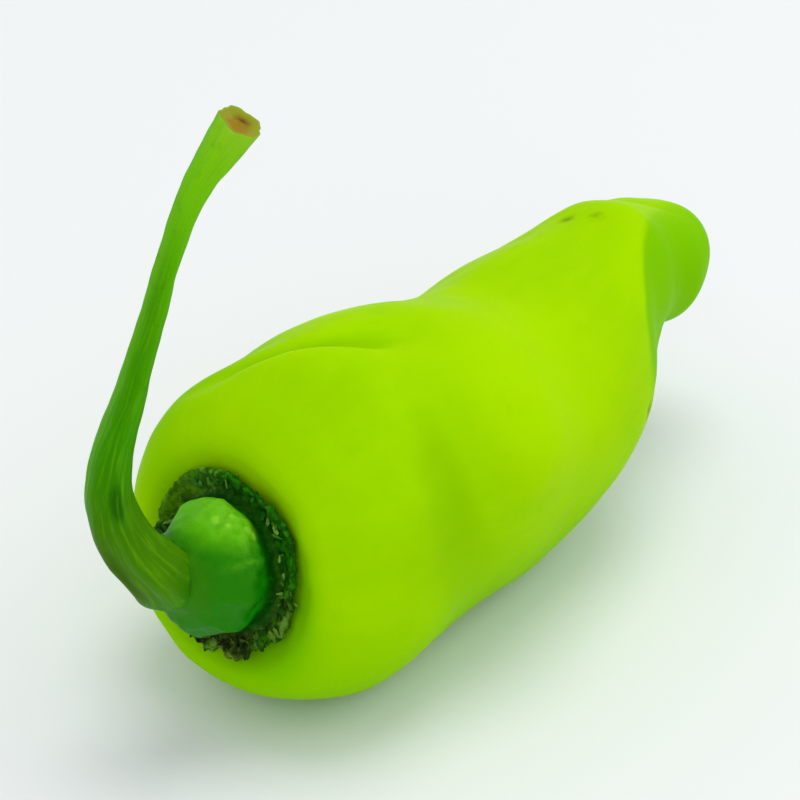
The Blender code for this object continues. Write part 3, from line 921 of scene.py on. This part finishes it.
stemValues = {
    "foot": 6.4,  # mm above the seat
    "footShift": (0.9, 0.3),  # mm sideways and up from the middle of the dome
    "sunk": 1.6,  # mm that the stem starts below its foot, inside the dome
    "straight": 1,
    "path": [
        (-34.9, 2, 19.8), (-36.8, 3.1, 22.7), (-37.9, 3.9, 26.6), (-37.5, 3.9, 31), (-35.4, 3.2, 36.8),
        (-33.1, 2.6, 42.8), (-31.1, 2, 48.4), (-28.4, 1.4, 53.4), (-24.1, 0.1, 58.2)],
    # distance along the stem, radius
    "radii": [
        (-1.6, 2.8), (-0.6, 3.1), (0.6, 3.3), (1.6, 3.15), (2.8, 2.9), (4.2, 2.68), (5.6, 2.55),
        (8.4, 2.36), (12, 2.05), (15.5, 1.8), (19.5, 1.5), (23.5, 1.25), (28, 1.1), (33, 1.02),
        (37, 1.06), (41, 1.25), (44, 1.6), (47, 1.9), (50, 1.98)],
    "bendBlend": 3.2,  # mm of the path that each ring's direction is averaged over
    "ribs": [(0.07, 5, 0), (0.02, 13, 1)],  # share of the radius, how many, phase
    "ribsFrom": (-0.5, 4),  # mm along
    "twist": 1.1,  # degrees per mm
    "around": 96,
    "rings": 300,
    "capRings": 14,
    "slant": (0.28, -0.45),  # how far the cut leans, mm per mm, sideways and upward
    "slantReach": 4,
    "dip": 0.35,  # mm, in the cut face round its pith
    "fibreRing": (3, 0.12),  # fibres are read round this radius, and slowly along
    "fibres": [(0.05, 1.2, 41, 20)],  # mm high, size, seed, waves
    "unevenness": [(0.05, 2.4, 42, 14)],
    # where the colour changes: angle and reach, then the place along and its reach
    # dark stripe on one side: partly the stem's own, partly painted shade
    "core": (118, 26),
    "coreTo": (30, 40),  # mm along
    # painted shade in the fold at the bend: angle, reach, place along, reach
    "knot": (156, 13, 12.6, 1.6),
    "knotShare": 1.6,
    # pale stripe on the other side: partly the stem's own, partly painted light
    "pale": (48, 22),
    "shaft": (6, 14),  # mm along between which the shaded core and the pale stripe set in
    # painted shadow under the bend, near the foot: angle, reach, place along, reach
    "under": (93, 13, 5.8, 3.4),
    "scorch": (300, 26, 0.5, 0.18),  # on the cut: its place is a share of the face
    "shader": {"IOR": 1.45, "Specular IOR Level": 0.14, "Specular Tint": (0.7, 1, 0.1, 1)},
    "fibreStretch": (6, 6, 0.25),
    "noises": {"fibres": (1, 4, 0.6), "mottle": (600, 3, 0.6)},
    "fullLength": 50,
    # colours along it, by the share of that length
    "stops": [
        (0, (0.024, 0.2, 0)), (0.02, (0.027, 0.2, 0)), (0.07, (0.052, 0.2, 0)),
        (0.2, (0.05, 0.19, 0)), (0.34, (0.04, 0.28, 0)), (0.55, (0.068, 0.34, 0)),
        (0.7, (0.11, 0.45, 0.001)), (0.85, (0.18, 0.53, 0.004)), (1, (0.28, 0.56, 0.02))],
    "tints": {  # share, colour
        "core": (0.45, (0.02, 0.17, 0)), "pale": (0.5, (0.13, 0.47, 0.01)),
        "under": (0.7, (0.035, 0.07, 0.004))},
    "layers": {
        # darkest where the painted shade at the bend adds to the core
        "core": (0.9, 1.6, 0.7, (0.004, 0.09, 0)),
        "fibres": (0.45, 0.7, 0.35, (0.15, 0.44, 0.006)),
        "mottle": (0.55, 0.8, 0.35, (0.03, 0.15, 0))},
    "cut": (0.55, 0.95, (0.28, 0.3, 0.016), (0.3, 0.19, 0.006)),
    "cutMiddle": (0.5, 0.2, 0.7),  # how much browner it is, shares of the face between which
    "scorchColour": (0.13, 0.04, 0.001),
    "roughness": (0.38, 0.2),
    "bump": (0.7, 0.3, 0.0002, 0.5),
}


# The path from inside the dome to the cut, and the distance along it, counted from the foot
def stemPath(v, seatPlace):
    sideShift, upShift = v["footShift"]
    middle, side, up, outward = seatPlace
    foot = middle + v["foot"] * outward + sideShift * side + upShift * up
    knee = foot + v["straight"] * outward
    path = curveThrough([foot, knee, *v["path"]], curveSamples)
    path = np.vstack([foot - v["sunk"] * outward, path])
    return path, lengthsAlong(path) - v["sunk"]


# The mean of a line's steps over as many samples as given, with the first and the last repeated
def smoothSteps(path, count):
    ends = np.pad(np.gradient(path, axis=0), ((count, count), (0, 0)), mode="edge")
    even = np.ones(count) / count
    return np.stack([np.convolve(ends[:, k], even, "same")[count:-count] for k in range(3)], axis=-1)


# The dark core with a patch of painted shade near the bend, the pale stripe and the painted shadow under
# the bend: bells round the stem times bells or steps along it. The core and the pale stripe are partly
# the stem's own stripes, partly painted shade and painted light
def stemStripes(v, degrees, along):
    def patch(centre, reach, place, length):
        return turnBell(degrees, centre, reach) * bell(along - place, length)

    shaft = smoothStep(*v["shaft"], along)
    core = turnBell(degrees, *v["core"]) * shaft * (1.0 - smoothStep(*v["coreTo"], along))
    core = np.minimum(core + v["knotShare"] * patch(*v["knot"]), 2.0)
    return np.stack([core, turnBell(degrees, *v["pale"]) * shaft, patch(*v["under"])], axis=-1)


# Rings square to the averaged path, scaled by the radius there, with ribs that turn slowly and die
# out at the foot. The last rings close in on the cut face, which dips a little
def buildStem(v, seatPlace):
    path, length = stemPath(v, seatPlace)
    total = length[-1]
    sides = v["rings"] - v["capRings"]
    along = np.concatenate([[-v["sunk"]], np.linspace(-v["sunk"], total, sides - 1),
                            np.full(v["capRings"], total)])
    blendCount = int(v["bendBlend"] / total * curveSamples)
    spine = np.stack(readTable(along, length, path), axis=-1)
    tangent = np.stack(readTable(along, length, smoothSteps(path, blendCount)), axis=-1)
    tangent /= np.linalg.norm(tangent, axis=1, keepdims=True)
    sideways = np.array([0.0, 1.0, 0.0]) - tangent[:, 1:2] * tangent
    sideways /= np.linalg.norm(sideways, axis=1, keepdims=True)
    upward = np.cross(tangent, sideways)
    spine, tangent, sideways, upward = (rows[:, None, :] for rows in (spine, tangent, sideways, upward))
    shrink = np.ones(v["rings"])
    shrink[0] = 0.0
    shrink[sides:] = 1.0 - np.linspace(0.0, 1.0, v["capRings"] + 1)[1:]
    isFace = np.arange(v["rings"]) >= sides
    whole = np.ones((v["rings"], v["around"]))
    angle = np.linspace(0.0, fullTurn, v["around"], endpoint=False) * whole
    along, shrink, isFace = (values[:, None] * whole for values in (along, shrink, isFace))
    faceShare = isFace * (1.0 - shrink)
    turn = angle - radians(v["twist"]) * along
    ribs = sum(height * cos(count * turn + phase) for height, count, phase in v["ribs"])
    radii = curveThrough(v["radii"], curveSamples)
    radius = np.interp(along, radii[:, 0], radii[:, 1])
    reach = radius * (1.0 + ribs * smoothStep(*v["ribsFrom"], along)) * shrink
    grid = (spine + (reach * cos(angle))[..., None] * sideways
            + (reach * sin(angle))[..., None] * upward)
    direction = grid - spine
    direction /= np.maximum(np.linalg.norm(direction, axis=2, keepdims=True), tiny)
    ring, drawnOut = v["fibreRing"]
    relief = noiseLayers(tubePlaces(ring, angle, drawnOut * along), v["fibres"])
    relief = relief + noiseLayers(grid, v["unevenness"])
    grid = grid + (relief * shrink)[..., None] * direction
    dip = v["dip"] * sin(pi * faceShare)
    slant = v["slant"][0] * reach * cos(angle) + v["slant"][1] * reach * sin(angle)
    slant *= smoothStep(total - v["slantReach"], total, along)
    grid = grid + (slant - dip)[..., None] * tangent
    degrees = np.degrees(angle)
    centre, width, place, length = v["scorch"]
    return meshFromGrids("pepper_stem", grid, {
        "alongStem": along, "stripes": stemStripes(v, degrees, along), "onFace": isFace,
        "scorch": turnBell(degrees, centre, width) * bell(faceShare - place, length),
        "faceShare": faceShare, "round": tubePlaces(1.0, turn, along)})


def stemPaint(v):
    paint = Paint("stemSkin", v["shader"])
    tints, layers, noises = v["tints"], v["layers"], v["noises"]
    around = paint.attribute("round", "Vector")
    stripes = paint.attribute("stripes", "Vector")
    core, pale, under = (paint.part(stripes, k) for k in range(3))
    fibres = paint.noise(paint.stretch(around, v["fibreStretch"]), *noises["fibres"])
    mottle = paint.noise(paint.objectPlace(), *noises["mottle"])
    colour = paint.ramp(paint.attribute("alongStem") / v["fullLength"], v["stops"])
    colour = paint.layers(paint.tint(colour, core, *tints["core"]), layers, core=core)
    colour = paint.layers(paint.tint(colour, pale, *tints["pale"]), layers, fibres=fibres, mottle=mottle)
    # painted shadow along the lower edge, near the foot
    colour = paint.tint(colour, under, *tints["under"])
    browner, *shares = v["cutMiddle"]
    towardsMiddle = paint.step(paint.attribute("faceShare"), *shares)
    cut = paint.blend(mottle + browner * towardsMiddle, *v["cut"])
    cut = paint.mix(paint.attribute("scorch"), cut, v["scorchColour"])
    paint.feed("Base Color", paint.mix(paint.attribute("onFace"), colour, cut))
    least, added = v["roughness"]
    paint.feed("Roughness", least + added * mottle)
    fibreShare, mottleShare, *depth = v["bump"]
    paint.bump(fibres * fibreShare + mottle * mottleShare, *depth)
    return paint.material


addPiece("pepper_stem", buildStem(stemValues, seatPlace), stemPaint(stemValues), ["stem"])


stageValues = {
    "floorSize": 3,
    "floorColour": (0.84, 0.87, 0.885),
    "floorRoughness": 0.6,
    "world": (1, 1, 1, 0.7),  # colour, strength
    # place in metres, size, power, colour
    "lights": {
        "key": ((0.16, 0, 0.8), 0.5, 2, (1, 0.99, 0.96)),
        "right": ((0.5, -0.45, 0.45), 0.5, 0.7, (1, 0.99, 0.97)),
        "front": ((-0.6, -0.5, 0.4), 0.6, 1.1, (0.97, 0.99, 1))},
}


def addStage(v):
    half = v["floorSize"] / 2.0
    mesh = bpy.data.meshes.new("floor")
    mesh.from_pydata([(-half, -half, 0.0), (half, -half, 0.0), (half, half, 0.0), (-half, half, 0.0)],
                     [], [(0, 1, 2, 3)])
    floor = addObject("floor", mesh)
    mesh.materials.append(Paint("floor", {
        "Base Color": (*v["floorColour"], 1.0), "Roughness": v["floorRoughness"]}).material)
    world = bpy.data.worlds.new("studio")
    world.use_nodes = True
    background = world.node_tree.nodes["Background"]
    background.inputs["Color"].default_value = (*v["world"][:3], 1.0)
    background.inputs["Strength"].default_value = v["world"][3]
    bpy.context.scene.world = world
    for name, (place, size, power, colour) in v["lights"].items():
        data = bpy.data.lights.new(name, "AREA")
        data.shape = "DISK"
        data.size = size
        data.energy = power
        data.color = colour
        aimFrom(addObject(name, data), place, -Vector(place))


addStage(stageValues)
print("floor and light placed")
